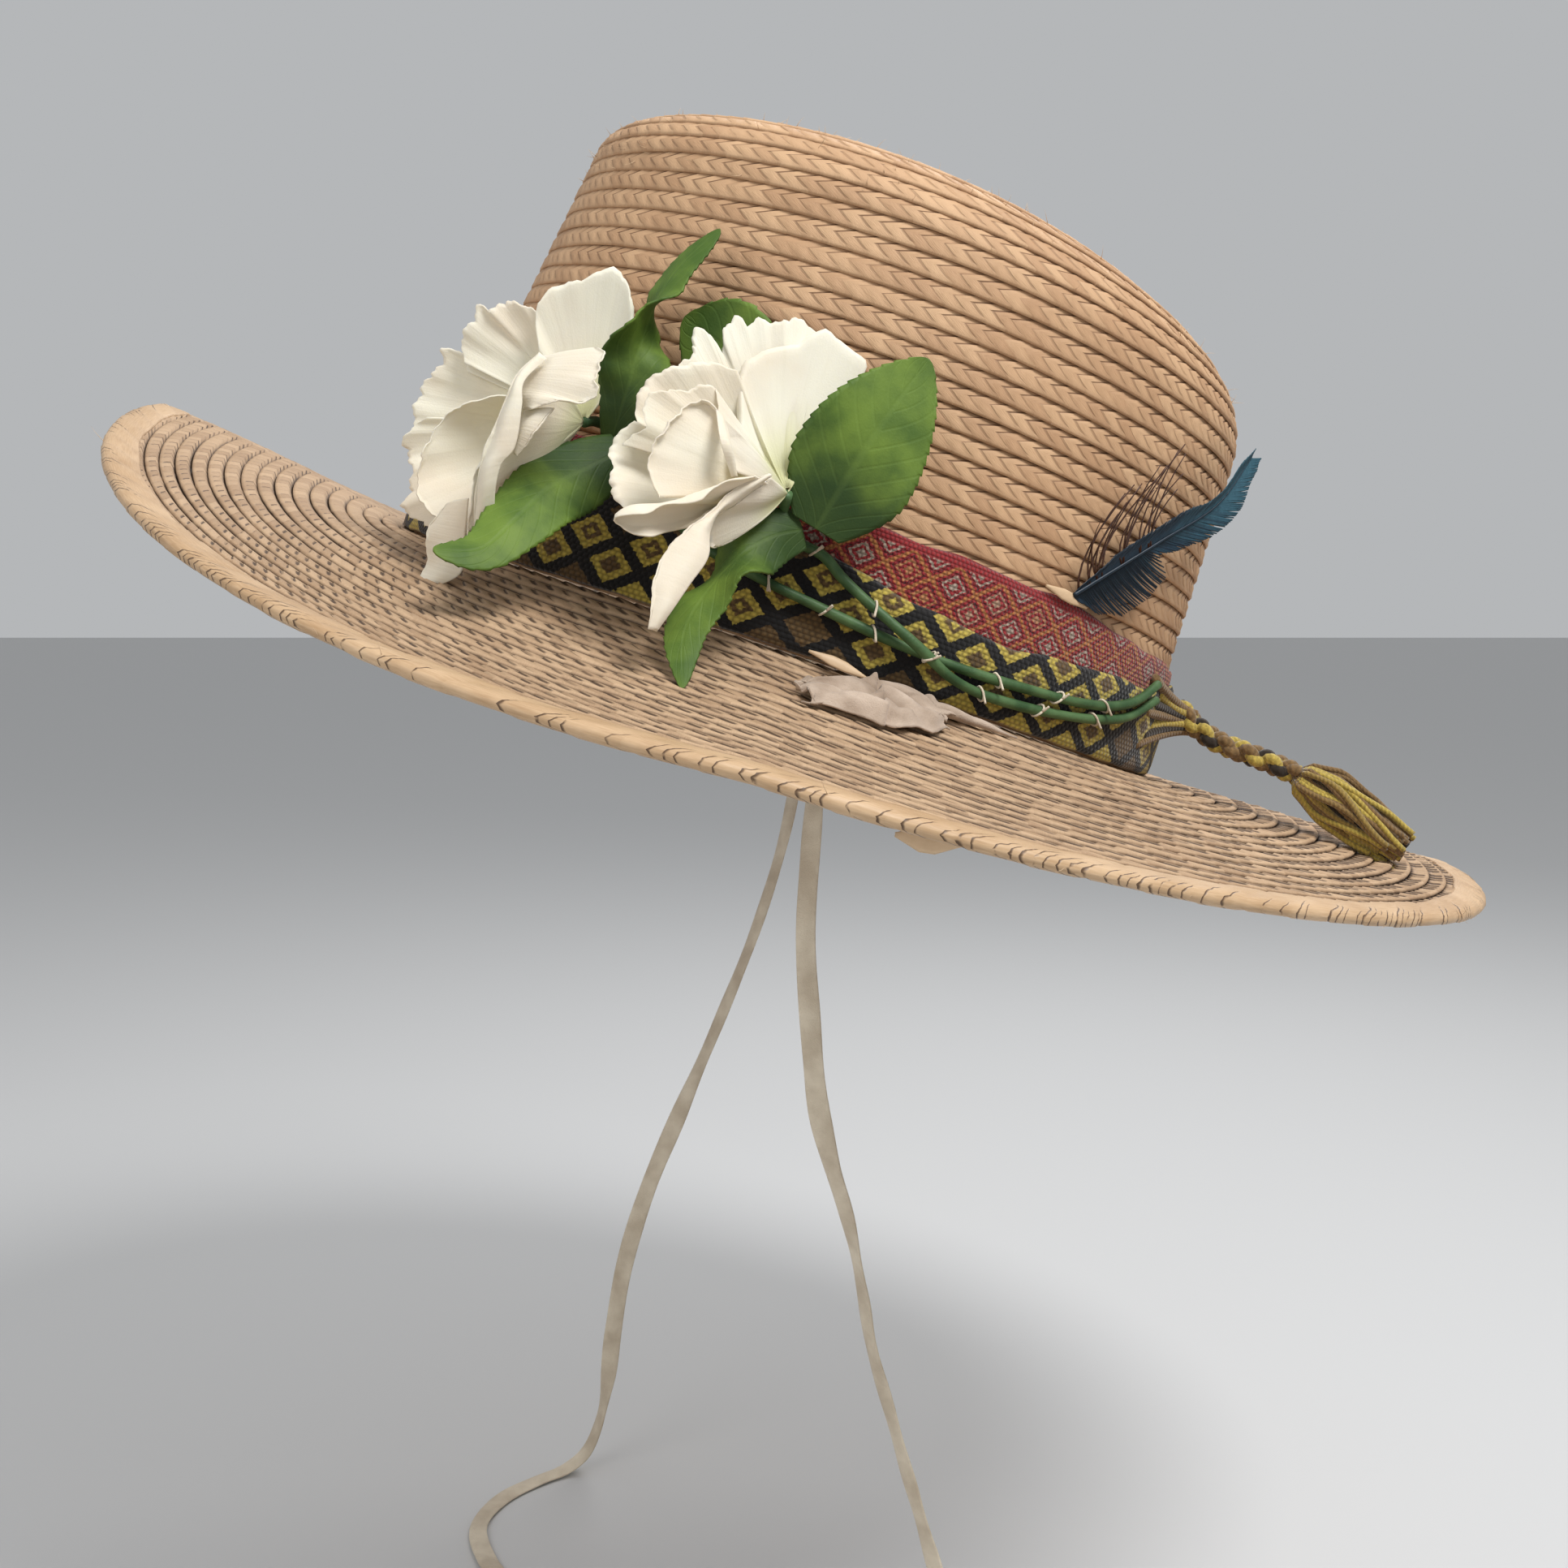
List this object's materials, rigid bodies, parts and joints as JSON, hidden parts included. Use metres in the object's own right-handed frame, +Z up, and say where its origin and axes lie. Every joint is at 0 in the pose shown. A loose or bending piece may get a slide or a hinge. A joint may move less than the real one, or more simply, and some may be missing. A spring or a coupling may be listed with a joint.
{
  "type": "straw hat",
  "caption": "Oval straw hat with a wide drooping brim, woven bands, cloth flowers and leaves, a feather, a plaited tail and cotton chin ties, in its worn form.",
  "frame": {"origin": "centre of the head opening at the foot of the crown, where the hat sits", "axes": "+Z up as worn, -Y towards the wearer's front, +X towards the wearer's left; the hat leans back by 18.5 degrees about X and the ties hang along -Z"},
  "size_m": [0.352, 0.3548, 0.4151],
  "materials": {
    "straw": "matte plaited straw",
    "binding_straw": "satin wrapped straw",
    "red_weave": "woven wool",
    "sash_weave": "woven wool",
    "petal_cloth": "matte stiffened cloth",
    "leaf_cloth": "satin printed cloth",
    "stem": "matte",
    "feather": "satin barbs",
    "yarn": "plaited wool yarn",
    "cotton": "soft cotton tape"
  },
  "bodies": {
    "root": {"crown": "straw", "brim": "straw", "brim_binding": "binding_straw", "red_band": "red_weave", "sash_band": "sash_weave", "flower_left_outer_petals": "petal_cloth", "flower_left_middle_petals": "petal_cloth", "flower_left_inner_petals": "petal_cloth", "flower_left_low_petal": "petal_cloth", "flower_right_outer_petals": "petal_cloth", "flower_right_middle_petals": "petal_cloth", "flower_right_inner_petals": "petal_cloth", "flower_right_low_petal": "petal_cloth", "leaf_upper": "leaf_cloth", "leaf_lower": "leaf_cloth", "leaf_right": "leaf_cloth", "leaf_hanging": "leaf_cloth", "leaf_back": "leaf_cloth", "stem_left": "stem", "stem_right": "stem", "feather": "feather", "tail_braid": "yarn", "tail_tassel": "yarn", "tie_end_left": "cotton", "tie_end_right": "cotton", "chin_tie_left": "cotton", "chin_tie_right": "cotton", "straw_tab": "binding_straw"}
  },
  "joints": []
}
